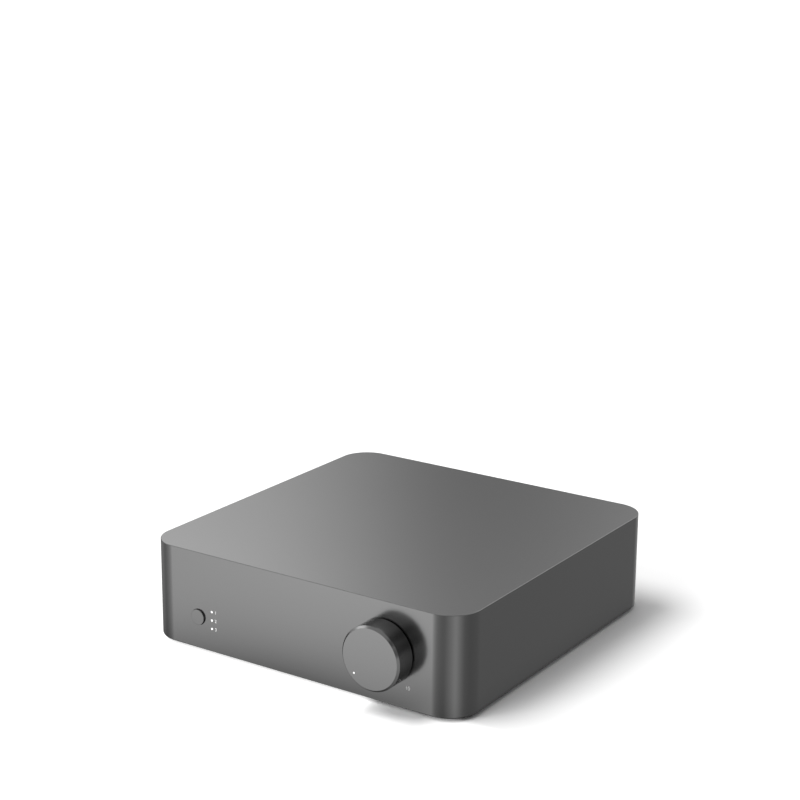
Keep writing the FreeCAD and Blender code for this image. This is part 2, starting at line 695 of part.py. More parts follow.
# Speaker posts: a hollow brass stud, a brass sleeve that travels along it, and a fluted cap that
# turns on the sleeve. All four are alike. Heights are from the collar's outer face
CAP_FOOT = "cap_gap"
CAP_ROOF = "(cap_gap + cap_length - cap_end)"
STUD_TIP = "(cap_gap + cap_length - cap_end - tip_gap)"
BOSS_END = "(collar_height + terminal_plate_thickness + panel_thickness + boss_length)"
post_nuts = []
for i, x in enumerate(POSTS, start=1):
    place = (x, COLLAR_TOP, "post_z")
    stud = turned(f"post_stud_{i}", [
        ("0", f"-{BOSS_END} - stud_tail"),
        ("stud_radius", f"-{BOSS_END} - stud_tail"),
        ("stud_radius", STUD_TIP),
        ("plug_bore_radius", STUD_TIP),
        ("plug_bore_radius", "plug_bore_floor"),
        ("0", "plug_bore_floor"),
    ], place, "rear")
    wire_hole = sketch_on(stud, "XZ_Plane", "stud_radius")
    circle(wire_hole, "0", "wire_hole_height", "wire_hole_radius")
    pocket(stud, wire_hole, "2 * stud_radius")

    nut = new_body(f"post_nut_{i}", (x, PANEL_BACK + " - boss_length", "post_z"), "rear", kept=False)
    nut_outline = sketch_on(nut, "XY_Plane")
    hexagon(nut_outline, "post_nut_radius")
    circle(nut_outline, "0", "0", "stud_radius + stud_gap")
    pad(nut, nut_outline, "post_nut_thickness", backwards=True)
    post_nuts.append(nut)

    turned(f"post_sleeve_{i}", [
        ("stud_radius + stud_gap", f"{CAP_FOOT} + cap_lip + sleeve_gap"),
        ("sleeve_radius", f"{CAP_FOOT} + cap_lip + sleeve_gap"),
        ("sleeve_radius", f"{CAP_ROOF} - sleeve_gap"),
        ("stud_radius + stud_gap", f"{CAP_ROOF} - sleeve_gap"),
    ], place, "rear")

    cap = turned(f"post_cap_{i}", [
        ("stud_radius + 2 * tip_gap", CAP_FOOT),
        ("cap_radius", CAP_FOOT),
        ("cap_radius", f"{CAP_FOOT} + cap_length - cap_edge"),
        ("cap_radius - cap_edge", f"{CAP_FOOT} + cap_length"),
        ("cap_mouth_radius", f"{CAP_FOOT} + cap_length"),
        ("cap_mouth_radius", CAP_ROOF),
        ("sleeve_radius + fit_gap", CAP_ROOF),
        ("sleeve_radius + fit_gap", f"{CAP_FOOT} + cap_lip"),
        ("stud_radius + 2 * tip_gap", f"{CAP_FOOT} + cap_lip"),
    ], place, "rear")
    flute = sketch_on(cap, "XY_Plane", f"{CAP_FOOT} + cap_length")
    polygon(flute, [
        ("cap_radius - cap_flute_depth", "0"),
        ("cap_radius + cap_flute_depth", "-2 * cap_flute_depth"),
        ("cap_radius + cap_flute_depth", "2 * cap_flute_depth"),
    ])
    one_flute = pocket(cap, flute, "cap_length - 3 * cap_edge")
    flutes = cap.newObject("PartDesign::PolarPattern", f"post_cap_{i}_flutes")
    flutes.Originals = [one_flute]
    flutes.Axis = (flute, ["N_Axis"])
    flutes.Angle = 360
    flutes.setExpression("Occurrences", bound("cap_flutes"))
    cap.Tip = flutes
group("post_nuts", post_nuts)


def jack_block(label, x, top):
    """A moulded block that stands on the main board and meets the back of the panel."""
    body = new_body(label, (x, PANEL_BACK, BOARD_TOP))
    side = sketch_on(body, "XY_Plane")
    rectangle(side, "0", "-jack_depth / 2", "jack_width", "jack_depth")
    pad(body, side, top)
    return body


# Phono sockets: a stacked pair for a stereo line and a single digital one
jack_block("line_jack_block", "line_x", "jack_rise + jack_pitch + jack_top")
jack_block("digital_jack_block", "digital_x", "jack_rise + jack_top")
for label, (x, z) in JACKS.items():
    place = (x, PANEL_BACK, z)
    turned(f"{label}_barrel", [
        ("barrel_radius - barrel_wall", "0"),
        ("barrel_radius - barrel_gap", "0"),
        ("barrel_radius - barrel_gap", "panel_thickness"),
        ("barrel_radius", "panel_thickness"),
        ("barrel_radius", "panel_thickness + barrel_length"),
        ("barrel_radius - barrel_wall", "panel_thickness + barrel_length"),
    ], place, "rear")
    turned(f"{label}_insert", [
        ("0", "0"),
        ("barrel_radius - barrel_wall - fit_gap", "0"),
        ("barrel_radius - barrel_wall - fit_gap", "panel_thickness + barrel_length - insert_recess"),
        ("contact_radius", "panel_thickness + barrel_length - insert_recess"),
        ("contact_radius", "panel_thickness + barrel_length - insert_recess - contact_depth"),
        ("0", "panel_thickness + barrel_length - insert_recess - contact_depth"),
    ], place, "rear")

# Optical socket: a block on the board, a square nose through the panel, and a port with a shutter
optical = new_body("optical_socket", ("optical_x", PANEL_BACK, OPTICAL_Z), "rear")
optical_block = sketch_on(optical, "XY_Plane")
rectangle(optical_block, "0", "0", "optical_width", "optical_height")
pad(optical, optical_block, "optical_depth", backwards=True)
nose = sketch_on(optical, "XY_Plane")
rectangle(nose, "0", "0", "nose_width", "nose_width")
pad(optical, nose, "panel_thickness")
port = sketch_on(optical, "XY_Plane", "panel_thickness")
rectangle(port, "0", "0", "port_width", "port_height")
pocket(optical, port, "port_depth")
HINGE_Z = "(port_height / 2 - shutter_gap - shutter_thickness / 2)"
HINGE_Y = "(panel_thickness - shutter_recess - shutter_thickness / 2)"
hinge_hole = sketch_on(optical, "YZ_Plane", "-port_width / 2 - shutter_pin")
circle(hinge_hole, HINGE_Z, HINGE_Y, "shutter_thickness / 2 + fit_gap")
pocket(optical, hinge_hole, "port_width + 2 * shutter_pin", backwards=True)

shutter = new_body("optical_shutter", ("optical_x", PANEL_BACK, OPTICAL_Z), "rear")
leaf = sketch_on(shutter, "YZ_Plane", "-port_width / 2 + shutter_gap")
LEAF_LOW = "(-port_height / 2 + shutter_gap)"
leaf_half = "shutter_thickness / 2"
polygon(leaf, [
    (LEAF_LOW, f"{HINGE_Y} - {leaf_half}"),
    (HINGE_Z, f"{HINGE_Y} - {leaf_half}"),
    (HINGE_Z, f"{HINGE_Y} + {leaf_half}"),
    (LEAF_LOW, f"{HINGE_Y} + {leaf_half}"),
])
pad(shutter, leaf, "port_width - 2 * shutter_gap")
hinge_pin = sketch_on(shutter, "YZ_Plane", "-port_width / 2 - shutter_pin + fit_gap")
circle(hinge_pin, HINGE_Z, HINGE_Y, leaf_half)
pad(shutter, hinge_pin, "port_width + 2 * shutter_pin - 2 * fit_gap")

# Volume knob: turned aluminium with a well behind, pressed on a bush over the shaft. Its own frame
# starts at the back of the knob, and the pointer is set at the start of its travel
KNOB_BACK = "(-shell_depth / 2 - knob_gap)"
knob_place = (KNOB_X, KNOB_BACK, "knob_z")
knob = turned("volume_knob", [
    ("knob_well_radius", "0"),
    ("knob_radius - knob_back_chamfer", "0"),
    ("knob_radius", "knob_back_chamfer"),
    ("knob_radius", "knob_depth - knob_chamfer"),
    ("knob_radius - knob_chamfer", "knob_depth"),
    ("0", "knob_depth"),
    ("0", "knob_depth - knob_face"),
    ("knob_well_radius", "knob_depth - knob_face"),
], knob_place, "front")
POINTER = ("-pointer_reach * sin(pointer_angle * 1 deg)", "-pointer_reach * cos(pointer_angle * 1 deg)")
pointer_seat = sketch_on(knob, "XY_Plane", "knob_depth")
circle(pointer_seat, *POINTER, "pointer_radius + fit_gap / 2")
pocket(knob, pointer_seat, "pointer_depth")
pointer = new_body("knob_pointer", knob_place, "front")
pointer_disc = sketch_on(pointer, "XY_Plane", "knob_depth - pointer_depth")
circle(pointer_disc, *POINTER, "pointer_radius")
pad(pointer, pointer_disc, "pointer_depth")

turned("knob_bush", [
    ("shaft_radius + shaft_gap / 2", "knob_depth - knob_face - knob_bush_length"),
    ("knob_well_radius - fit_gap", "knob_depth - knob_face - knob_bush_length"),
    ("knob_well_radius - fit_gap", "knob_depth - knob_face"),
    ("shaft_radius + shaft_gap / 2", "knob_depth - knob_face"),
], knob_place, "front")

# Potentiometer: body behind the front wall, threaded bushing through it, nut and shaft.
# Its frame starts at the inner face of the front wall
POT_PLACE = (KNOB_X, FRONT_INSIDE, "knob_z")
pot = new_body("potentiometer", POT_PLACE, "front")
pot_case = sketch_on(pot, "XY_Plane")
rectangle(pot_case, "0", "0", "pot_width", "pot_width")
pad(pot, pot_case, "pot_depth", backwards=True)
bushing = sketch_on(pot, "XY_Plane")
circle(bushing, "0", "0", "bushing_radius")
pad(pot, bushing, "bushing_length")
pot_bore = sketch_on(pot, "XY_Plane", "bushing_length")
circle(pot_bore, "0", "0", "shaft_radius + shaft_gap")
pocket(pot, pot_bore, "bushing_length + shaft_in_pot + shaft_end_gap")
pot_nut = new_body("pot_nut", POT_PLACE, "front")
nut_outline = sketch_on(pot_nut, "XY_Plane", "side_wall")
hexagon(nut_outline, "nut_radius")
circle(nut_outline, "0", "0", "bushing_radius + fit_gap")
pad(pot_nut, nut_outline, "nut_thickness")
SHAFT_END = "(side_wall + knob_gap + knob_depth - knob_face - shaft_end_gap)"
turned("pot_shaft", [
    ("0", "-shaft_in_pot"),
    ("shaft_radius", "-shaft_in_pot"),
    ("shaft_radius", SHAFT_END),
    ("0", SHAFT_END),
], POT_PLACE, "front")

# Power button: a turned cap with a flange behind the front wall and a stem into the switch. Its
# frame starts at the inner face of the front wall
BUTTON_PLACE = (BUTTON_X, FRONT_INSIDE, "button_z")
SWITCH_FRONT = "(-front_standoff + switch_depth)"
STEM_IN = "(switch_depth - switch_wall - button_travel - shaft_end_gap)"
turned("power_button", [
    ("0", f"{SWITCH_FRONT} - {STEM_IN}"),
    ("stem_radius", f"{SWITCH_FRONT} - {STEM_IN}"),
    ("stem_radius", "-button_flange"),
    ("button_flange_radius", "-button_flange"),
    ("button_flange_radius", "-fit_gap"),
    ("button_radius", "-fit_gap"),
    ("button_radius", "side_wall + button_proud - button_edge"),
    ("button_radius - button_edge", "side_wall + button_proud"),
    ("0", "side_wall + button_proud"),
], BUTTON_PLACE, "front")
switch = new_body("power_switch", BUTTON_PLACE, "front")
switch_case = sketch_on(switch, "XY_Plane", "-front_standoff")
rectangle(switch_case, "0", "0", "switch_width", "switch_width")
pad(switch, switch_case, "switch_depth")
switch_well = sketch_on(switch, "XY_Plane", SWITCH_FRONT)
circle(switch_well, "0", "0", "stem_radius + fit_gap")
pocket(switch, switch_well, "switch_depth - switch_wall")

# Indicator lights: a clear moulding with three rods through the front wall, and a diode behind each
guide = new_body("light_guide", (LIGHT_X, FRONT_INSIDE, "button_z"), "front")
GUIDE_REAR = "(-front_standoff + led_depth + light_to_led)"
guide_bar = sketch_on(guide, "XY_Plane", GUIDE_REAR)
rectangle(guide_bar, "0", "0", "light_bar_width", "2 * light_pitch + light_bar_width")
pad(guide, guide_bar, "-" + GUIDE_REAR)
rods = sketch_on(guide, "XY_Plane")
for step in (-1, 0, 1):
    circle(rods, "0", f"{step} * light_pitch", "light_radius")
pad(guide, rods, "side_wall")
leds = []
for i, z in enumerate(LIGHTS, start=1):
    led = new_body(f"indicator_led_{i}", (LIGHT_X, FRONT_BOARD, z), "front", kept=False)
    led_outline = sketch_on(led, "XY_Plane")
    rectangle(led_outline, "0", "0", "led_width", "led_width / 2")
    pad(led, led_outline, "led_depth")
    leds.append(led)
group("indicator_leds", leds)

# Front board: carries the switch and the diodes, with a window round the potentiometer
front_board = new_body("front_board")
front_outline = sketch_on(front_board, "XZ_Plane", "-" + FRONT_BOARD)
rectangle(front_outline, "0", "(front_board_bottom + front_board_height / 2)", f"2 * {FRONT_BOARD_END}",
          "front_board_height")
pad(front_board, front_outline, "board_thickness", backwards=True)
front_cuts = sketch_on(front_board, "XZ_Plane", "-" + FRONT_BOARD)
rectangle(front_cuts, KNOB_X, "knob_z", "pot_width + 2 * pot_window_gap", "pot_width + 2 * pot_window_gap")
for x, z in FRONT_HOLES:
    circle(front_cuts, x, z, "small_screw_radius + screw_hole_gap")
pocket(front_board, front_cuts, "board_thickness")
board_screws = [
    small_screw(f"front_screw_{i + 1}", (x, FRONT_BOARD + " + board_thickness", z), "rear")
    for i, (x, z) in enumerate(FRONT_HOLES)
]

# Boards on the base plate, each with its screws
for label, (left, right) in BOARDS.items():
    board = new_body(label)
    edge = sketch_on(board, "XY_Plane", BOARD_BOTTOM)
    polygon(edge, [(left, BOARD_FRONT), (right, BOARD_FRONT), (right, BOARD_REAR), (left, BOARD_REAR)])
    pad(board, edge, "board_thickness")
    holes = sketch_on(board, "XY_Plane", BOARD_TOP)
    for x, y in screwed_corners(left, right):
        circle(holes, x, y, "small_screw_radius + screw_hole_gap")
    pocket(board, holes, "board_thickness")
    board_screws += [
        small_screw(f"{label}_screw_{i + 1}", (x, y, BOARD_TOP), "up")
        for i, (x, y) in enumerate(screwed_corners(left, right))
    ]
group("board_screws", board_screws)


def can(label, x, y, radius, height):
    """An electrolytic capacitor: a drawn aluminium can."""
    return turned(label, [
        ("0", "0"),
        (radius, "0"),
        (radius, height),
        ("0", height),
    ], (x, y, BOARD_TOP))


# Power supply: transformer of a core with a winding through it, and a bulk capacitor
power_x = f"({POWER_LEFT} + power_board_width / 2)"
transformer_y = f"({BOARD_FRONT} + transformer_back)"
core = new_body("transformer_core", (power_x, transformer_y, BOARD_TOP))
core_outline = sketch_on(core, "XZ_Plane", "-transformer_length / 4")
rectangle(core_outline, "0", "transformer_height / 2", "transformer_width", "transformer_height")
pad(core, core_outline, "transformer_length / 2")
core_window = sketch_on(core, "XZ_Plane", "-transformer_length / 4")
rectangle(core_window, "0", "transformer_height / 2", "transformer_width - 2 * yoke_thickness",
          "transformer_height - 2 * yoke_thickness")
pocket(core, core_window, "transformer_length / 2", backwards=True)
winding = new_body("transformer_winding", (power_x, transformer_y, BOARD_TOP))
bobbin = sketch_on(winding, "XZ_Plane", "-transformer_length / 2")
rectangle(bobbin, "0", "transformer_height / 2", "transformer_width - 2 * yoke_thickness - 2 * fit_gap",
          "transformer_height - 2 * yoke_thickness - 2 * fit_gap")
pad(winding, bobbin, "transformer_length")
can("bulk_capacitor", power_x, f"({BOARD_FRONT} + bulk_can_back)", "bulk_can_radius", "bulk_can_height")

# Amplifier stage: a chip under a finned heat sink, two output coils and two capacitors
chip_y = f"({BOARD_FRONT} + chip_back)"
chip = new_body("amplifier_chip", ("chip_x", chip_y, BOARD_TOP))
chip_outline = sketch_on(chip, "XY_Plane")
rectangle(chip_outline, "0", "0", "chip_width", "chip_width")
pad(chip, chip_outline, "chip_height")
sink = new_body("heat_sink", ("chip_x", chip_y, BOARD_TOP + " + chip_height"))
sink_outline = sketch_on(sink, "XY_Plane")
rectangle(sink_outline, "0", "0", "sink_width", "sink_length")
pad(sink, sink_outline, "sink_base")
first_fin = sketch_on(sink, "XY_Plane", "sink_base")
rectangle(first_fin, "-(fin_count - 1) * fin_pitch / 2", "0", "fin_thickness", "sink_length")
one_fin = pad(sink, first_fin, "sink_height - sink_base")
fins = sink.newObject("PartDesign::LinearPattern", "heat_sink_fins")
fins.Originals = [one_fin]
fins.Direction = (first_fin, ["H_Axis"])
fins.setExpression("Length", bound("(fin_count - 1) * fin_pitch"))
fins.setExpression("Occurrences", bound("fin_count"))
sink.Tip = fins
for name, side in (("left", -1), ("right", 1)):
    coil_place = (f"coil_x + {side} * coil_spacing / 2", f"{BOARD_FRONT} + coil_back", BOARD_TOP)
    coil = new_body(f"output_coil_{name}", coil_place)
    coil_outline = sketch_on(coil, "XZ_Plane", "-coil_width / 2")
    polygon(coil_outline, [
        ("-coil_width / 2", "0"),
        ("coil_width / 2", "0"),
        ("coil_width / 2", "coil_height - coil_bevel"),
        ("coil_width / 2 - coil_bevel", "coil_height"),
        ("coil_bevel - coil_width / 2", "coil_height"),
        ("-coil_width / 2", "coil_height - coil_bevel"),
    ])
    pad(coil, coil_outline, "coil_width")
    can_y = f"{BOARD_FRONT} + cap_can_back + {side} * cap_can_spacing / 2"
    can(f"capacitor_{name}", "cap_can_x", can_y, "cap_can_radius", "cap_can_height")

# Ribbon cable from the back of the front board down to the main board
ribbon = new_body("ribbon_cable", ("ribbon_x", FRONT_BOARD + " + board_thickness", BOARD_TOP))
ribbon_side = sketch_on(ribbon, "YZ_Plane", "-ribbon_width / 2")
inner = "(ribbon_reach - ribbon_thickness - ribbon_bend)"
polygon(ribbon_side, [
    ("0", "ribbon_rise - ribbon_thickness"),
    (inner, "ribbon_rise - ribbon_thickness"),
    ("ribbon_reach - ribbon_thickness", "ribbon_rise - ribbon_thickness - ribbon_bend"),
    ("ribbon_reach - ribbon_thickness", "0"),
    ("ribbon_reach", "0"),
    ("ribbon_reach", "ribbon_rise - ribbon_bend - ribbon_thickness / 2"),
    (f"{inner} + ribbon_thickness / 2", "ribbon_rise"),
    ("0", "ribbon_rise"),
])
pad(ribbon, ribbon_side, "ribbon_width")

doc.recompute()
failed = [part.Label for part in doc.Objects if "Invalid" in part.State or "Error" in part.State]
failed += [node.Label for node in nodes if node.Shape.isNull() or not node.Shape.isValid()]
failed += [cut.Label for cut in cuts if cut.Shape.Volume >= cut.BaseFeature.Shape.Volume]
if failed:
    raise RuntimeError("not built: " + ", ".join(failed))
os.makedirs("parts", exist_ok=True)
for node in nodes:
    node.Shape.exportStep(f"parts/{node.Label}.step")
print(f"{len(nodes)} pieces")
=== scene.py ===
import math

import bmesh
import bpy
from mathutils import Matrix, Vector


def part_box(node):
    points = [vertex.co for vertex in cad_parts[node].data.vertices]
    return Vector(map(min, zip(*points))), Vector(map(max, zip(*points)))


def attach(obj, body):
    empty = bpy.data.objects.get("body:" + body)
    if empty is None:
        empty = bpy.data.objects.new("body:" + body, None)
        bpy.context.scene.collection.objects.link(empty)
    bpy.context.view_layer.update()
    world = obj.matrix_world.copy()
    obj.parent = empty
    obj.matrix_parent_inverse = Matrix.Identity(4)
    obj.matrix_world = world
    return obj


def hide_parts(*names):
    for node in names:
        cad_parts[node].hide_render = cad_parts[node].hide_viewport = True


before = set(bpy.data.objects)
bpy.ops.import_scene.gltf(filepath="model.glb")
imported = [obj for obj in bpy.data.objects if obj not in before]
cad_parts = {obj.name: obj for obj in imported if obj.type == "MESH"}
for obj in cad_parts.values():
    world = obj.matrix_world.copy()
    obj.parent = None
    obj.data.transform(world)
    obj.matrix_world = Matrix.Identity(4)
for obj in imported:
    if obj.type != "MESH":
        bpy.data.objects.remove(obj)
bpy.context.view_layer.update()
MM = 0.001


# Base plate: a rounded sheet of 1.5 mm steel with two rows of punched slots and hexagonal standoffs,
# powder-coated black. It lies in a rebate under the housing.


class Shade:
    """One output of a material's nodes. Python's operators on it add Math nodes."""

    def __init__(self, tree, output=None):
        self.tree = tree
        self.output = output

    def node(self, kind, settings=(), values=(), output=0):
        new = self.tree.nodes.new("ShaderNode" + kind)
        for name, value in dict(settings).items():
            if name == "stops":
                stops = new.color_ramp.elements
                while len(stops) < len(value):
                    stops.new(1.0)
                for stop, (at, tone) in zip(stops, value):
                    stop.position = at
                    stop.color = (tone, tone, tone, 1.0)
            else:
                setattr(new, name, value)
        for name, value in dict(values).items():
            if isinstance(value, Shade):
                self.tree.links.new(value.output, new.inputs[name])
            else:
                new.inputs[name].default_value = value
        return Shade(self.tree, new.outputs[output])

    def maths(self, operation, first, second):
        return self.node("Math", {"operation": operation}, {0: first, 1: second})

    def vector(self, operation, first, second=(0.0, 0.0, 0.0), output=0):
        return self.node("VectorMath", {"operation": operation}, {0: first, 1: second}, output)

    def smooth_range(self, source, low, high):
        """0 at low and 1 at high, with an eased slope between them."""
        return self.node("MapRange", {"interpolation_type": "SMOOTHSTEP"},
                         {"Value": source, "From Min": low, "From Max": high})

    def __add__(self, other):
        return self.maths("ADD", self, other)

    def __mul__(self, other):
        return self.maths("MULTIPLY", self, other)

    def __sub__(self, other):
        return self.maths("SUBTRACT", self, other)

    def __rsub__(self, other):
        return self.maths("SUBTRACT", other, self)

    __radd__ = __add__
    __rmul__ = __mul__

    def noise(self, grain, detail=2.0):
        """Noise from 0 to 1 whose grains are about that many metres across."""
        return self.node("TexNoise", (), {"Vector": self, "Scale": 1.0 / grain, "Detail": detail})

    def mix(self, factor, first, second):
        """A colour between two others."""
        return self.node("Mix", {"data_type": "RGBA"}, {0: factor, 6: first, 7: second}, output=2)

    def bump(self, height, depth, strength):
        return self.node("Bump", (), {"Height": height, "Distance": depth, "Strength": strength})


def grey(tone):
    return (tone, tone, tone, 1.0)


def finish(name, **constants):
    """A new material, its object coordinates, and a function that feeds its shader's sockets."""
    made = bpy.data.materials.new(name)
    made.use_nodes = True
    tree = made.node_tree
    surface = tree.nodes["Principled BSDF"]
    for socket, value in constants.items():
        surface.inputs[socket.replace("_", " ")].default_value = value
    place = Shade(tree).node("TexCoord", output="Object")

    def varies(socket, source):
        tree.links.new(source.output, surface.inputs[socket])

    return made, place, varies


def dress(node, material):
    """A CAD node keeps its shape and takes a material."""
    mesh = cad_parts[node].data
    mesh.materials.clear()
    mesh.materials.append(material)


def powder_coat(name, tone):
    made, place, varies = finish(name, Specular_IOR_Level=0.4)
    orange_peel = place.noise(0.9 * MM, 3.0)
    dust = place.noise(14 * MM, 4.0)
    varies("Base Color", place.mix(dust, grey(tone * 0.85), grey(tone * 1.2)))
    varies("Roughness", 0.48 + orange_peel * 0.16)
    varies("Normal", place.bump(orange_peel, 0.05 * MM, 0.5))
    return made


black_coat = powder_coat("powder_coat_black", 0.022)


def edged_copy(node):
    """A bmesh of a CAD node's own shape with its triangles joined into whole faces."""
    bm = bmesh.new()
    bm.from_mesh(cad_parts[node].data)
    bmesh.ops.remove_doubles(bm, verts=bm.verts[:], dist=0.001 * MM)
    bmesh.ops.dissolve_limit(bm, angle_limit=math.radians(1), verts=bm.verts[:], edges=bm.edges[:])
    return bm


SHARP = math.radians(35)


def piece(name, bm, material, body, nodes, edge=0.0, rounds=2):
    """A finished piece from a bmesh: its edges softened, riding on its body in place of its CAD nodes."""
    mesh = bpy.data.meshes.new(name)
    bm.to_mesh(mesh)
    bm.free()
    mesh.materials.append(material)
    mesh.shade_smooth()
    mesh.set_sharp_from_angle(angle=SHARP)
    obj = bpy.data.objects.new(name, mesh)
    bpy.context.scene.collection.objects.link(obj)
    if edge:
        soft = obj.modifiers.new("softened_edges", "BEVEL")
        soft.width = edge
        soft.segments = rounds
        soft.limit_method = "ANGLE"
        soft.angle_limit = SHARP
    normals = obj.modifiers.new("even_shading", "WEIGHTED_NORMAL")
    normals.keep_sharp = True
    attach(obj, body)
    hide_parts(*nodes)


def softened(node, name, material, body, edge, rounds=2):
    """A finished piece with a CAD node's own shape, in place of that node."""
    piece(name, edged_copy(node), material, body, [node], edge, rounds)


softened("base_plate", "base_sheet", black_coat, "root", 0.12 * MM)


# Boards, power supply and amplifier stage: everything that the closed housing hides. They keep the
# shapes of the frame and get the finish of solder resist, moulded resin, drawn cans and wound tape.


def resin(name, tone, rough=0.5):
    made, place, varies = finish(name)
    spark = place.noise(0.25 * MM, 3.0)
    varies("Base Color", place.mix(place.noise(9 * MM), grey(tone * 0.8), grey(tone * 1.25)))
    varies("Roughness", rough + spark * 0.15)
    varies("Normal", place.bump(spark, 0.03 * MM, 0.5))
    return made


def solder_resist():
    made, place, varies = finish("solder_resist", Specular_IOR_Level=0.6)
    weave = place.noise(1.2 * MM, 1.0)
    copper = place.node("TexVoronoi", {"feature": "DISTANCE_TO_EDGE"},
                        {"Vector": place, "Scale": 1 / (4 * MM)})
    tracks = place.node("ValToRGB", {"stops": ((0.05, 1.0), (0.09, 0.0))}, {"Fac": copper})
    varies("Base Color", place.mix(tracks, (0.008, 0.06, 0.03, 1.0), (0.014, 0.11, 0.05, 1.0)))
    varies("Roughness", 0.3 + weave * 0.15)
    varies("Normal", place.bump(tracks, 0.03 * MM, 0.6))
    return made


def drawn_metal(name, tone, rough=0.28):
    made, place, varies = finish(name, Metallic=1.0)
    stretch = place.node("Mapping", (), {"Vector": place, "Scale": (1.0, 1.0, 0.06)})
    lines = stretch.noise(0.25 * MM, 3.0)
    varies("Base Color", place.mix(lines, grey(tone * 0.85), grey(tone)))
    varies("Roughness", rough + lines * 0.12)
    varies("Normal", place.bump(lines, 0.01 * MM, 0.4))
    return made


def wound_tape():
    made, place, varies = finish("wound_tape")
    turns = place.node("TexWave", {"bands_direction": "Y"},
                       {"Vector": place, "Scale": 1 / (9 * MM), "Distortion": 0.6})
    varies("Base Color", place.mix(turns, (0.42, 0.27, 0.03, 1.0), (0.62, 0.44, 0.07, 1.0)))
    varies("Roughness", 0.3 + turns * 0.1)
    varies("Normal", place.bump(turns, 0.08 * MM, 0.7))
    return made


inside_black = resin("component_resin", 0.03)
inside_metal = drawn_metal("component_can", 0.62)
board_green = solder_resist()
ferrite = resin("ferrite", 0.07, 0.6)
for node in ("main_board", "power_board", "front_board"):
    dress(node, board_green)
for node in ("amplifier_chip", "output_coil_left", "output_coil_right", "ribbon_cable", "power_switch",
             "line_jack_block", "digital_jack_block", "knob_bush"):
    dress(node, inside_black)
for node in ("heat_sink", "capacitor_left", "capacitor_right", "bulk_capacitor", "potentiometer", "pot_nut",
             "pot_shaft", "board_screws"):
    dress(node, inside_metal)
dress("transformer_core", ferrite)
dress("transformer_winding", wound_tape())


# Feet: four turned pads of black rubber, glued under the base plate close to its corners. They keep
# the amplifier from sliding and leave a gap under it for the air.


def turned(profile, centre, axis="Y", steps=96):
    """A closed bmesh turned about an axis through a centre, from (radius, distance along the axis)."""
    bm = bmesh.new()
    ring = []
    for radius, along in profile:
        at = (radius, along, 0.0) if axis == "Y" else (radius, 0.0, along)
        ring.append(bm.verts.new(Vector(at) + Vector(centre)))
    for first, second in zip(ring, ring[1:]):
        bm.edges.new((first, second))
    if profile[0][0] > 0:
        bm.edges.new((ring[-1], ring[0]))
    line = (0, 1, 0) if axis == "Y" else (0, 0, 1)
    bmesh.ops.spin(bm, geom=bm.verts[:] + bm.edges[:], cent=centre, axis=line, angle=math.tau,
                   steps=steps, use_merge=True, use_duplicate=False)
    bmesh.ops.remove_doubles(bm, verts=bm.verts[:], dist=0.0001 * MM)
    bmesh.ops.recalc_face_normals(bm, faces=bm.faces[:])
    return bm


def rubber():
    made, place, varies = finish("foot_rubber", Specular_IOR_Level=0.3)
    skin = place.noise(0.5 * MM, 4.0)
    varies("Base Color", place.mix(place.noise(5 * MM), grey(0.018), grey(0.03)))
    varies("Roughness", 0.7 + skin * 0.2)
    varies("Normal", place.bump(skin, 0.05 * MM, 0.5))
    return made


foot_rubber = rubber()
FOOT_CHAMFER = 0.4 * MM
for node in ("foot_front_left", "foot_front_right", "foot_rear_left", "foot_rear_right"):
    low, high = map(Vector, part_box(node))
    middle = (low + high) / 2
    radius, tall = (high.x - low.x) / 2, high.z - low.z
    profile = [(0, 0), (radius - FOOT_CHAMFER, 0), (radius, FOOT_CHAMFER), (radius, tall), (0, tall)]
    pad = turned(profile, (middle.x, middle.y, low.z), axis="Z", steps=64)
    piece(node + "_pad", pad, foot_rubber, "root", [node], 0.1 * MM)


# Housing: one aluminium shell, machined, bead-blasted fine and anodised dark grey. The rounded square
# has a flat roof with a hairline chamfer, and openings for the knob, button and lights in front.
ANODISED_TONE = 0.3
ANODISED_ROUGHNESS = 0.18
PAINTED_SHADE_TONE = 0.72 * ANODISED_TONE


def anodised(name, painted_shade=None):
    """Dark grey anodised aluminium, with painted shade a quarter darker where a function of its coordinates
    gives 1.
    """
    made, place, varies = finish(name, Metallic=1.0)
    blast = place.noise(0.16 * MM, 2.0)
    cloud = place.noise(60 * MM, 1.0)
    colour = place.mix(cloud, grey(ANODISED_TONE * 0.985), grey(ANODISED_TONE * 1.015))
    # Painted shade: the colour goes a quarter darker where the mask gives 1.
    if painted_shade:
        colour = place.mix(painted_shade(place), colour, grey(PAINTED_SHADE_TONE))
    varies("Base Color", colour)
    varies("Roughness", ANODISED_ROUGHNESS + blast * 0.04)
    varies("Normal", place.bump(blast, 0.0016 * MM, 0.6))
    return made


def bevelled(bm, edges, width, steps):
    bmesh.ops.bevel(bm, geom=edges, offset=width, offset_type="OFFSET", segments=steps, profile=0.5,
                    affect="EDGES", material=-1)


def rounded_block(low, high, radius, axis="Z", corner_steps=24):
    """A block between two corners whose edges along one axis are rounded."""
    size, middle = high - low, (low + high) / 2
    bm = bmesh.new()
    bmesh.ops.create_cube(bm, size=1.0)
    bmesh.ops.scale(bm, vec=size, verts=bm.verts[:])
    bmesh.ops.translate(bm, vec=middle, verts=bm.verts[:])
    index = "XYZ".index(axis)
    along = [e for e in bm.edges if abs((e.verts[0].co - e.verts[1].co)[index]) > size[index] / 2]
    bevelled(bm, along, radius, corner_steps)
    return bm


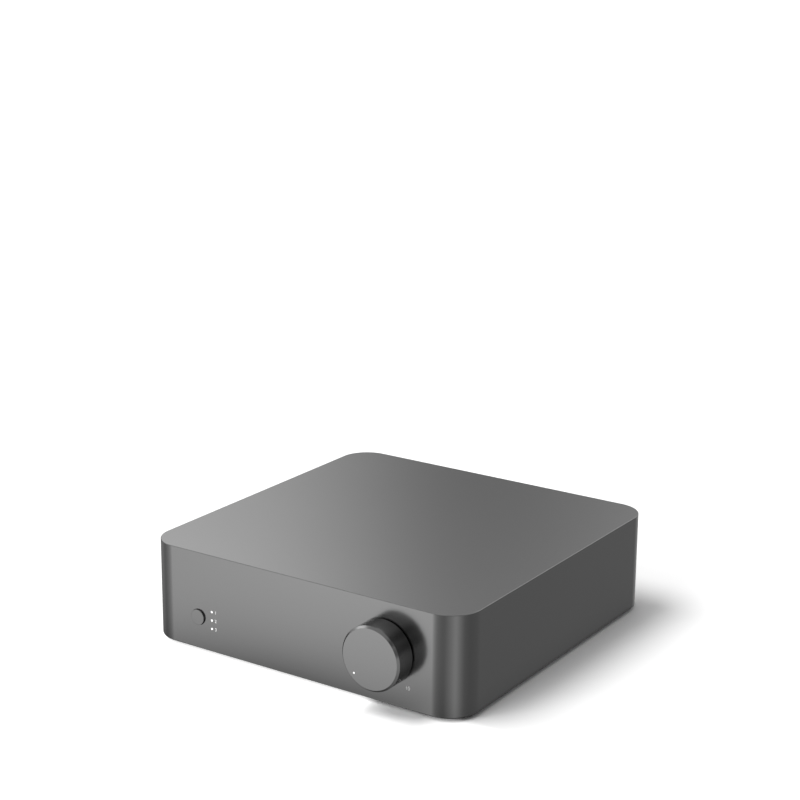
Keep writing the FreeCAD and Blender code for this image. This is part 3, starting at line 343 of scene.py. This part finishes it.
def cut(obj, cutters):
    """Cuts bmesh solids out of an object's mesh, for good."""
    for bm in cutters:
        mesh = bpy.data.meshes.new("cutter")
        bm.to_mesh(mesh)
        bm.free()
        tool = bpy.data.objects.new("cutter", mesh)
        bpy.context.scene.collection.objects.link(tool)
        step = obj.modifiers.new("cut", "BOOLEAN")
        step.operation = "DIFFERENCE"
        step.solver = "EXACT"
        step.object = tool
        bpy.context.view_layer.update()
        made = bpy.data.meshes.new_from_object(obj.evaluated_get(bpy.context.evaluated_depsgraph_get()))
        obj.modifiers.remove(step)
        obj.data = made
        bpy.data.objects.remove(tool)


def solid(bm):
    """A bare object from a bmesh, to be cut before it becomes a piece."""
    mesh = bpy.data.meshes.new("blank")
    bm.to_mesh(mesh)
    bm.free()
    obj = bpy.data.objects.new("blank", mesh)
    bpy.context.scene.collection.objects.link(obj)
    return obj


def taken_back(obj):
    """The bmesh of a bare object, which is removed."""
    bm = bmesh.new()
    bm.from_mesh(obj.data)
    bpy.data.objects.remove(obj)
    return bm


shell_low, shell_high = map(Vector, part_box("housing_shell"))
CORNER = 17.2 * MM
ROOF_CHAMFER = 0.3 * MM
HEM_CHAMFER = 0.8 * MM
SIDE_WALL = 2.5 * MM
REAR_WALL = 3.5 * MM
HEM_WALL = 1.5 * MM
REBATE = 0.9 * MM
KNOB_AT = Vector((55.0, 0.0, 30.1)) * MM
BUTTON_AT = Vector((-65.4, 0.0, 19.9)) * MM
LIGHT_X = -56.2 * MM
LIGHT_PITCH = 4.8 * MM
BUTTON_HOLE = 4.55 * MM
LIGHT_HOLE = 0.65 * MM
BUSHING_HOLE = 3.55 * MM
PANEL_SIZE = Vector((160.0, 0.0, 46.0)) * MM
PANEL_RECESS = 2.2 * MM
PANEL_LIP = Vector((8.0, 0.0, 3.0)) * MM
PANEL_CORNER = 4.0 * MM
# A cutter starts this far outside the face that it enters.
PAST_FACE = 1 * MM
DRILL_DEPTH = 4 * MM
OPENING_DEPTH = 5 * MM

outside = rounded_block(shell_low, shell_high, CORNER, corner_steps=40)


def level_edges(bm, height):
    return [e for e in bm.edges if all(abs(v.co.z - height) < 0.001 * MM for v in e.verts)]


bevelled(outside, level_edges(outside, shell_high.z), ROOF_CHAMFER, 4)
bevelled(outside, level_edges(outside, shell_low.z), HEM_CHAMFER, 3)
shell = solid(outside)
inner = Vector((SIDE_WALL, SIDE_WALL, 0))
hem = Vector((HEM_WALL, HEM_WALL, 0))
below = Vector((0, 0, PAST_FACE))
wall_back = Vector((SIDE_WALL, REAR_WALL, SIDE_WALL))
cavity = rounded_block(shell_low + inner - below, shell_high - wall_back, CORNER - SIDE_WALL)
rebate_high = Vector((shell_high.x, shell_high.y, shell_low.z + REBATE)) - hem
rebate = rounded_block(shell_low + hem - below, rebate_high, CORNER - HEM_WALL)


def front_drill(centre, radius, steps=64):
    """A drill through the front wall."""
    start, end = shell_low.y - PAST_FACE, shell_low.y + DRILL_DEPTH
    profile = [(0, start), (radius, start), (radius, end), (0, end)]
    return turned(profile, (centre.x, 0.0, centre.z), steps=steps)


panel_middle = Vector((0, shell_high.y, (shell_low.z + shell_high.z) / 2))
window = rounded_block(panel_middle - PANEL_SIZE / 2 - Vector((0, PANEL_RECESS, 0)),
                       panel_middle + PANEL_SIZE / 2 + Vector((0, PAST_FACE, 0)), PANEL_CORNER, "Y", 12)
opening = rounded_block(panel_middle - PANEL_SIZE / 2 + PANEL_LIP - Vector((0, OPENING_DEPTH, 0)),
                        panel_middle + PANEL_SIZE / 2 - PANEL_LIP, PANEL_CORNER, "Y", 12)
lights_at = [Vector((LIGHT_X, 0, BUTTON_AT.z + step * LIGHT_PITCH)) for step in (1, 0, -1)]
drills = [front_drill(KNOB_AT, BUSHING_HOLE), front_drill(BUTTON_AT, BUTTON_HOLE, 96)]
drills += [front_drill(at, LIGHT_HOLE, 32) for at in lights_at]
cut(shell, [cavity, rebate, window, opening] + drills)
dark_aluminium = anodised("anodised_aluminium")
piece("housing", taken_back(shell), dark_aluminium, "root", ["housing_shell"],
      0.08 * MM)


# Screws: black oxide steel. Four countersunk ones hold the base plate, and four pan-head ones hold the
# rear panel. Each head has a cross recess.


def black_oxide():
    made, place, varies = finish("black_oxide", Metallic=1.0)
    rub = place.noise(0.8 * MM, 4.0)
    varies("Base Color", place.mix(rub, grey(0.07), grey(0.14)))
    varies("Roughness", 0.32 + rub * 0.15)
    varies("Normal", place.bump(rub, 0.01 * MM, 0.4))
    return made


oxide = black_oxide()
RECESS_WIDTH = 0.55 * MM
RECESS_LENGTH = 2.4 * MM
RECESS_DEPTH = 0.9 * MM
RECESS_TIP = 0.45


def cross_recess(at, axis):
    """The two crossed wedges of a screwdriver's tip, sunk into a head from its top at a point."""
    made = []
    for turn in (0, math.pi / 2):
        bm = bmesh.new()
        bmesh.ops.create_cube(bm, size=1.0)
        bmesh.ops.scale(bm, vec=(RECESS_LENGTH, 2 * RECESS_DEPTH, RECESS_WIDTH), verts=bm.verts[:])
        for vert in bm.verts:
            if vert.co.y < 0:
                vert.co.x *= RECESS_TIP
        bmesh.ops.rotate(bm, matrix=Matrix.Rotation(turn + math.pi / 4, 3, "Y"), verts=bm.verts[:])
        if axis == "Z":
            bmesh.ops.rotate(bm, matrix=Matrix.Rotation(-math.pi / 2, 3, "X"), verts=bm.verts[:])
        bmesh.ops.translate(bm, vec=at, verts=bm.verts[:])
        made.append(bm)
    return made


def gathered(parts):
    """One bmesh of several."""
    whole = bmesh.new()
    for bm in parts:
        mesh = bpy.data.meshes.new("part")
        bm.to_mesh(mesh)
        bm.free()
        whole.from_mesh(mesh)
        bpy.data.meshes.remove(mesh)
    return whole


PANEL_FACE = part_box("rear_panel")[1][1]
HEAD = 2.4 * MM
HEAD_TALL = 1.4 * MM
SHANK = 1.25 * MM
SHANK_LENGTH = 3.3 * MM
# The head's round, as shares of its radius and its height
CROWN = ((1.0, 0.7), (0.8, 0.95), (0.5, 1.0))
head_profile = [(0, -SHANK_LENGTH), (SHANK, -SHANK_LENGTH), (SHANK, 0), (HEAD, 0)]
head_profile += [(HEAD * out, HEAD_TALL * up) for out, up in CROWN] + [(0, HEAD_TALL)]
heads = []
for sx in (-1, 1):
    for sz in (-1, 1):
        x = sx * (PANEL_SIZE.x - PANEL_LIP.x) / 2
        z = panel_middle.z + sz * (PANEL_SIZE.z - PANEL_LIP.x) / 2
        screw = solid(turned(head_profile, (x, PANEL_FACE, z), steps=40))
        cut(screw, cross_recess((x, PANEL_FACE + HEAD_TALL, z), "Y"))
        heads.append(taken_back(screw))
piece("panel_screws", gathered(heads), oxide, "root", ["rear_panel_screws"], 0.05 * MM)

PILLAR_X = 86.0 * MM
PILLARS_Y = (-93.5 * MM, 92.5 * MM)
PLATE_UNDERSIDE = 1.2 * MM
pillars = [Vector((side * PILLAR_X, y, PLATE_UNDERSIDE)) for side in (-1, 1) for y in PILLARS_Y]
SUNK_HEAD = 2.9 * MM
SUNK_SHANK = 1.5 * MM
SUNK_LENGTH = 7 * MM
sunk_profile = [(0, 0), (SUNK_HEAD, 0), (SUNK_SHANK, SUNK_HEAD - SUNK_SHANK), (SUNK_SHANK, SUNK_LENGTH),
                (0, SUNK_LENGTH)]
sunk = []
for at in pillars:
    screw = solid(turned(sunk_profile, at, axis="Z", steps=40))
    cut(screw, cross_recess(at, "Z"))
    sunk.append(taken_back(screw))
piece("plate_screws", gathered(sunk), oxide, "root", ["base_plate_screws"], 0.03 * MM)


# Rear panel: pressed steel with the same black coat as the base plate, set in the housing's window.
# The sockets and the plate of the speaker posts stand behind and through its holes.
softened("rear_panel", "socket_panel", black_coat, "root", 0.12 * MM)
socket_black = resin("socket_resin", 0.022, 0.42)
softened("mains_inlet", "mains_socket", socket_black, "root", 0.2 * MM)
softened("terminal_plate", "post_plate", socket_black, "root", 0.25 * MM)
softened("optical_socket", "optical_port", socket_black, "root", 0.1 * MM)
flap_black = resin("flap_resin", 0.035, 0.35)
softened("optical_shutter", "optical_flap", flap_black, "shutter", 0.08 * MM)
nickel = drawn_metal("nickel", 0.7, 0.16)
softened("inlet_pins", "mains_pins", nickel, "root", 0.35 * MM, 3)


# Phono sockets: a gilt barrel over a moulded insert, red and white for the stereo line and orange for
# the digital one.


def gilt():
    made, place, varies = finish("gilt_brass", Metallic=1.0)
    wear = place.noise(1.5 * MM, 3.0)
    varies("Base Color", place.mix(wear, (0.76, 0.52, 0.2, 1.0), (0.86, 0.64, 0.3, 1.0)))
    varies("Roughness", 0.16 + wear * 0.1)
    varies("Normal", place.bump(wear, 0.008 * MM, 0.3))
    return made


def coloured(name, colour):
    made, place, varies = finish(name, Specular_IOR_Level=0.55)
    shade = tuple(0.8 * part for part in colour[:3]) + (1.0,)
    skin = place.noise(0.7 * MM, 2.0)
    varies("Base Color", place.mix(place.noise(4 * MM), shade, colour))
    varies("Roughness", 0.25 + skin * 0.1)
    varies("Normal", place.bump(skin, 0.01 * MM, 0.3))
    return made


brass = gilt()
red = coloured("red_moulding", (0.52, 0.012, 0.014, 1.0))
white = coloured("white_moulding", (0.8, 0.8, 0.78, 1.0))
orange = coloured("orange_moulding", (0.8, 0.2, 0.01, 1.0))
JACKS = (("line_jack_right", red, "red_moulding"), ("line_jack_left", white, "white_moulding"),
         ("digital_jack", orange, "orange_moulding"))
for jack, colour, slot in JACKS:
    softened(jack + "_barrel", jack + "_collar", brass, "root", 0.12 * MM)
    softened(jack + "_insert", jack + "_heart", colour, "root", 0.12 * MM)


# Speaker posts: a gilt stud with a hole across it, a sleeve, and a fluted cap that screws down over
# a bare wire. Red caps mark the positive posts.
black_cap = resin("cap_resin", 0.02, 0.3)
for i in range(1, 5):
    cap, slot = (black_cap, "black_moulding") if i % 2 else (red, "red_moulding")
    sleeve_body, cap_body = f"post_sleeve_body_{i}", f"post_cap_body_{i}"
    softened(f"post_stud_{i}", f"post_{i}_stud", brass, "root", 0.1 * MM)
    softened(f"post_sleeve_{i}", f"post_{i}_sleeve", brass, sleeve_body, 0.08 * MM)
    softened(f"post_cap_{i}", f"post_{i}_cap", cap, cap_body, 0.15 * MM)
dress("post_nuts", brass)


# Volume knob: turned aluminium, anodised with the housing, with a chamfer round its face and a small
# white dot set into it. It turns on the shaft of the potentiometer.
knob_low, knob_high = map(Vector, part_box("volume_knob"))
KNOB_RADIUS = (knob_high.x - knob_low.x) / 2
KNOB_CHAMFER = 1.1 * MM
KNOB_BACK_CHAMFER = 0.4 * MM
KNOB_FACE = 3.0 * MM
WELL = 8.0 * MM
front, back = knob_low.y, knob_high.y
knob = solid(turned([
    (0, front + KNOB_FACE),
    (WELL, front + KNOB_FACE),
    (WELL, back),
    (KNOB_RADIUS - KNOB_BACK_CHAMFER, back),
    (KNOB_RADIUS, back - KNOB_BACK_CHAMFER),
    (KNOB_RADIUS, front + KNOB_CHAMFER),
    (KNOB_RADIUS - KNOB_CHAMFER, front),
    (0, front),
], (KNOB_AT.x, 0.0, KNOB_AT.z), steps=192))
dot_low, dot_high = map(Vector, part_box("knob_pointer"))
dot_middle = (dot_low + dot_high) / 2
DOT_SHARE = 0.75
DOT_DEPTH = 0.4 * MM
SEAT_SHARE = 1.03
SEAT_PAST_FACE = 0.2 * MM
dot_radius = DOT_SHARE * (dot_high.x - dot_low.x) / 2


def dot_plug(radius, start):
    """The disc of the dot, or the hole that it sits in."""
    end = front + DOT_DEPTH
    profile = [(0, start), (radius, start), (radius, end), (0, end)]
    return turned(profile, (dot_middle.x, 0.0, dot_middle.z), steps=48)


cut(knob, [dot_plug(dot_radius * SEAT_SHARE, front - SEAT_PAST_FACE)])
# The knob's side is painted darker towards its back, as painted shade from the gap between knob and
# housing.
SIDE_STARTS = 1.5 * MM
SIDE_RING = (16.2 * MM, 17.2 * MM)


def side_of_knob(place):
    """Where shade is painted on the knob: 0 on the face and at the front of the knob's side, 1 at its back.
    """
    across = place.vector("SUBTRACT", place, KNOB_AT)
    radius = place.vector("LENGTH", place.vector("MULTIPLY", across, (1.0, 0.0, 1.0)), output="Value")
    along = place.node("SeparateXYZ", (), {"Vector": place}, output="Y")
    return place.smooth_range(along, front + SIDE_STARTS, back) * place.smooth_range(radius, *SIDE_RING)


knob_aluminium = anodised("anodised_knob_painted_shade", painted_shade=side_of_knob)
piece("knob", taken_back(knob), knob_aluminium, "knob", ["volume_knob"],
      0.1 * MM, 3)


def enamel(name, tone, glow=0.0):
    made, place, varies = finish(name, Emission_Color=grey(1.0), Emission_Strength=glow)
    skin = place.noise(0.3 * MM, 2.0)
    varies("Base Color", place.mix(skin, grey(tone * 0.95), grey(tone)))
    varies("Roughness", 0.35 + skin * 0.1)
    return made


# The dot's white enamel carries a faint painted glow; it is no lamp.
white_dot_painted_glow = enamel("white_enamel_painted_glow", 0.85, 0.1)
piece("knob_dot", dot_plug(dot_radius, front), white_dot_painted_glow, "knob", ["knob_pointer"])


# Power button: a turned aluminium cap that stands a little out of the front, and slides in a bored hole
# with a narrow gap all round.
button_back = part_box("power_button")[1][1]
BUTTON_PROUD = 1.0 * MM
BUTTON_PLAY = 0.2 * MM
BUTTON_RADIUS = BUTTON_HOLE - BUTTON_PLAY
STEM_RADIUS = 1.75 * MM
FLANGE_RADIUS = 6.2 * MM
FLANGE_FRONT = -97.45 * MM
FLANGE_BACK = -96.5 * MM
button_face = shell_low.y - BUTTON_PROUD
button = turned([
    (0, button_back),
    (STEM_RADIUS, button_back),
    (STEM_RADIUS, FLANGE_BACK),
    (FLANGE_RADIUS, FLANGE_BACK),
    (FLANGE_RADIUS, FLANGE_FRONT),
    (BUTTON_RADIUS, FLANGE_FRONT),
    (BUTTON_RADIUS, button_face),
    (0, button_face),
], (BUTTON_AT.x, 0.0, BUTTON_AT.z))
piece("button", button, dark_aluminium, "button", ["power_button"], 0.2 * MM, 3)


# Indicator lights: the ends of three clear acrylic rods, which reach through bored holes and are
# flush with the front. A diode on the front board lights each from behind.
lit = enamel("lit_rod", 0.9, 0.45)
dress("light_guide", lit)
dress("indicator_leds", lit)


# Legends: numerals printed in pale grey ink, one beside each light and one at each end of the
# knob's travel. The ink is a thin layer on the anodised front.
INK = 0.02 * MM
STROKE = 0.01 * MM
CAP_SHARE = 0.72
LIGHT_NUMERAL = 1.8 * MM
LIGHT_GAP = 2.0 * MM
DIAL_NUMERAL = 2.0 * MM
DIAL_REACH = 14.0 * MM
DIAL_DROP = 16.7 * MM
legends = [(str(count), at.x + LIGHT_GAP, at.z, LIGHT_NUMERAL, "LEFT")
           for count, at in enumerate(lights_at, 1)]
legends += [(words, KNOB_AT.x + side * DIAL_REACH, KNOB_AT.z - DIAL_DROP, DIAL_NUMERAL, "CENTER")
            for words, side in (("0", -1), ("10", 1))]
printed = bmesh.new()
for words, x, z, tall, align in legends:
    curve = bpy.data.curves.new("legend", "FONT")
    curve.body = words
    curve.size = tall / CAP_SHARE
    curve.align_x = align
    curve.align_y = "CENTER"
    curve.extrude = INK / 2
    curve.offset = STROKE
    text = bpy.data.objects.new("legend", curve)
    bpy.context.scene.collection.objects.link(text)
    bpy.context.view_layer.update()
    flat = bpy.data.meshes.new_from_object(text.evaluated_get(bpy.context.evaluated_depsgraph_get()))
    bpy.data.objects.remove(text)
    flat.transform(Matrix.Translation((x, shell_low.y - INK / 2, z)) @ Matrix.Rotation(math.pi / 2, 4, "X"))
    printed.from_mesh(flat)
    bpy.data.meshes.remove(flat)
ink = enamel("printed_ink", 0.72)
piece("legends", printed, ink, "root", [])


# Studio: a wide white floor, lit so well that only the amplifier's own shadow shows on it, with light
# painted into the floor along the housing's front edge. The floor is out of the metal's reflections, which
# see panels of light all round instead.


def stage_sheet(name, half_width, material, height=0.0):
    """A flat square on the floor that is no part of the object."""
    bm = bmesh.new()
    bmesh.ops.create_grid(bm, x_segments=1, y_segments=1, size=half_width)
    bmesh.ops.translate(bm, vec=(0, 0, height), verts=bm.verts[:])
    mesh = bpy.data.meshes.new(name)
    bm.to_mesh(mesh)
    bm.free()
    mesh.materials.append(material)
    obj = bpy.data.objects.new(name, mesh)
    bpy.context.scene.collection.objects.link(obj)
    return obj


pale, place, varies = finish("pale_floor", Specular_IOR_Level=0.0)
varies("Base Color", place.mix(place.noise(0.4), grey(0.84), grey(0.86)))
varies("Roughness", 0.8 + place.noise(0.1) * 0.1)
# Light is painted into the floor as a glowing strip along the front edge, where the housing's shade would
# fall, up to the shadow that the knob throws, and a little again by the corner. Each pair is where that
# painted light is out and where it is full.
PAINTED_FLOOR_GLOW = 0.62
LEFT_OF_KNOB = (52 * MM, 38 * MM)
BY_THE_CORNER = (76 * MM, 90 * MM)
CORNER_SHARE = 0.35
STRIP_BACK = (-88 * MM, -95 * MM)
STRIP_FRONT = (-140 * MM, -115 * MM)
floor_x, floor_y = (place.node("SeparateXYZ", (), {"Vector": place}, output=part) for part in "XY")
at_corner = CORNER_SHARE * place.smooth_range(floor_x, *BY_THE_CORNER)
along = place.smooth_range(floor_x, *LEFT_OF_KNOB) + at_corner
painted_glow_strip = place.smooth_range(floor_y, *STRIP_BACK) * place.smooth_range(floor_y, *STRIP_FRONT)
varies("Emission Color", place.mix(along * painted_glow_strip, grey(0.0), grey(1.0)))
pale.node_tree.nodes["Principled BSDF"].inputs["Emission Strength"].default_value = PAINTED_FLOOR_GLOW
FLOOR_HALF = 12.0
floor = stage_sheet("floor", FLOOR_HALF, pale)
floor.visible_glossy = False

# A tinted gel lies on the floor where only reflections meet it: painted shade in the reflections. It
# darkens them towards the foot of the housing, where the shade under a product falls, and is almost clear
# beside the right-hand wall, where only the hem is dimmed. Each pair is where a change starts and where it
# ends.
GEL_DEPTH = 0.7
GEL_FADE = 45 * MM
GEL_HALF = 1.0
GEL_LIFT = 0.02 * MM
ROUND_TO_FRONT = (118 * MM, 55 * MM)
RIGHT_SHARE = 0.15
FROM_THE_LEFT = (-150 * MM, 10 * MM)
LEFT_SHARE = 0.4
HEM_REACH = (4 * MM, 1 * MM)
HEM_RIGHT = 0.95
HEM_FRONT = 0.2
reflected_shade_gel = bpy.data.materials.new("gel")
reflected_shade_gel.use_nodes = True
gel_tree = reflected_shade_gel.node_tree
gel_tree.nodes.remove(gel_tree.nodes["Principled BSDF"])
place = Shade(gel_tree).node("TexCoord", output="Object")
level = place.vector("MULTIPLY", place, (1.0, 1.0, 0.0))
beyond = place.vector("SUBTRACT", place.vector("ABSOLUTE", level), [shell_high.x - CORNER] * 2 + [0.0])
reach = place.vector("LENGTH", place.vector("MAXIMUM", beyond, (0.0, 0.0, 0.0)), output="Value")
away = place.maths("MAXIMUM", reach - CORNER, 0.0)
across = place.node("SeparateXYZ", (), {"Vector": place}, output="X")
in_front = RIGHT_SHARE + (1.0 - RIGHT_SHARE) * place.smooth_range(across, *ROUND_TO_FRONT)
to_the_left = LEFT_SHARE + (1.0 - LEFT_SHARE) * place.smooth_range(across, *FROM_THE_LEFT)
reflected_shade = GEL_DEPTH * place.maths("POWER", math.e, away * (-1 / GEL_FADE)) * in_front * to_the_left
at_the_hem = place.smooth_range(away, *HEM_REACH)
hem_dimmed = HEM_RIGHT - (HEM_RIGHT - HEM_FRONT) * in_front
passed = 1.0 - (reflected_shade * (1.0 - at_the_hem) + hem_dimmed * at_the_hem)
tint = place.node("CombineColor", (), {"Red": passed, "Green": passed, "Blue": passed})
clear = place.node("BsdfTransparent", (), {"Color": tint})
gel_tree.links.new(clear.output, gel_tree.nodes["Material Output"].inputs["Surface"])
gel = stage_sheet("gel", GEL_HALF, reflected_shade_gel, GEL_LIFT)
for rays in ("camera", "diffuse", "shadow", "transmission", "volume_scatter"):
    setattr(gel, "visible_" + rays, False)

# The panels of light, as brightness against the compass: 0 is in front, 90 to the right
PANELS_BELOW = (
    (-180, 0.45), (-150, 0.3), (-125, 0.2), (-110, 0.3), (-98, 0.35), (-80, 0.25), (-65, 0.38),
    (-52, 0.54), (-46, 0.72), (-41, 0.95), (-34, 1.23), (-26, 0.7), (-15, 0.4), (0, 0.28), (12, 0.25),
    (24, 0.35), (36, 0.45), (50, 0.6), (65, 0.4), (80, 0.23), (100, 0.19), (130, 0.21), (160, 0.25),
    (180, 0.45),
)
PANELS_ABOVE = (
    (-180, 0.8), (-165, 0.9), (-157, 0.75), (-154, 0.5), (-151, 0.35), (-148, 0.32), (-147, 0.36),
    (-145, 0.62), (-142, 0.9), (-138, 1.05), (-130, 0.8), (-115, 0.5), (-98, 0.6), (-85, 1.2),
    (-72, 1.2), (-55, 0.5), (5, 0.45), (20, 0.3), (65, 0.3), (90, 0.5), (150, 0.55), (180, 0.8),
)
SHADE_AT_RIGHT = ((-180, 0.0), (5, 0.0), (20, 0.7), (65, 0.7), (85, 0.0), (180, 0.0))
# Heights are sines of the angle above the horizon, in pairs from where a change starts to its end.
HORIZON = (-0.05, 0.05)
TALLER_AT = (0.28, 0.42)
SHADE_AT = (0.4, 0.5)
OVERHEAD_AT = (0.6, 0.75)
LOWER_SHARE = 0.66
TALLER_SHARE = 1.36
OVERHEAD = 0.42
BRIGHTEST = 1.3
world = bpy.data.worlds.new("studio")
world.use_nodes = True
background = world.node_tree.nodes["Background"]
background.inputs["Color"].default_value = grey(1.0)
facing = Shade(world.node_tree).node("TexCoord", output="Generated")
east, south, height = (facing.node("SeparateXYZ", (), {"Vector": facing}, output=part) for part in "XYZ")
compass = facing.maths("ARCTAN2", east, 0.0 - south) * (1 / math.tau) + 0.5


def panels(stops):
    """The panels' brightness for the direction that a ray looks in."""
    ramp = [((where + 180) / 360, light / BRIGHTEST) for where, light in stops]
    return facing.node("ValToRGB", {"stops": ramp}, {"Fac": compass})


above = facing.smooth_range(height, *HORIZON)
overhead = facing.smooth_range(height, *OVERHEAD_AT)
taller = LOWER_SHARE + (TALLER_SHARE - LOWER_SHARE) * facing.smooth_range(height, *TALLER_AT)
shade = BRIGHTEST * panels(SHADE_AT_RIGHT) * facing.smooth_range(height, *SHADE_AT)
sides = facing.mix(above, panels(PANELS_BELOW), panels(PANELS_ABOVE) * taller * (1.0 - shade))
sky = facing.mix(overhead, sides, grey(OVERHEAD / BRIGHTEST))
world.node_tree.links.new((sky * BRIGHTEST).output, background.inputs["Strength"])
world.cycles.sampling_method = "NONE"
bpy.context.scene.world = world
bpy.context.scene.view_settings.view_transform = "Standard"

# Three wide soft lights on the floor and the moulded parts: compass, height in degrees, strength
SOFT_LIGHTS = (("low_front", -20, 30, 1.8), ("high_left", -60, 60, 2.2), ("top_left", -100, 80, 0.25))
SOFTNESS = math.radians(35)
for name, where, rise, strength in SOFT_LIGHTS:
    soft = bpy.data.lights.new(name, "SUN")
    soft.energy = strength
    soft.angle = SOFTNESS
    light = bpy.data.objects.new(name, soft)
    bpy.context.scene.collection.objects.link(light)
    tilt = Matrix.Rotation(math.radians(90 - rise), 4, "X")
    light.matrix_world = Matrix.Rotation(math.radians(where), 4, "Z") @ tilt
    light.visible_glossy = False

# The camera looks from the front right and a little above the roof.
CAMERA_AT = Vector((538.846, -812.552, 404.284)) * MM
CAMERA_YAW = 0.5887884
CAMERA_RISE = 0.2762359
CAMERA_ROLL = 0.0078043
FOCAL_LENGTH = 84.009
lens = bpy.data.cameras.new("camera")
lens.lens = FOCAL_LENGTH
lens.sensor_width = 36.0
lens.clip_start = 0.01
lens.clip_end = 100.0
camera = bpy.data.objects.new("camera", lens)
bpy.context.scene.collection.objects.link(camera)
level_reach = math.cos(CAMERA_RISE)
behind = Vector((math.sin(CAMERA_YAW) * level_reach, -math.cos(CAMERA_YAW) * level_reach,
                 math.sin(CAMERA_RISE)))
right = (-behind).cross(Vector((0, 0, 1))).normalized()
up = right.cross(-behind)
right_rolled = right * math.cos(CAMERA_ROLL) + up * math.sin(CAMERA_ROLL)
up_rolled = up * math.cos(CAMERA_ROLL) - right * math.sin(CAMERA_ROLL)
facing_object = Matrix((right_rolled, up_rolled, behind)).transposed().to_4x4()
camera.matrix_world = Matrix.Translation(CAMERA_AT) @ facing_object
bpy.context.scene.camera = camera
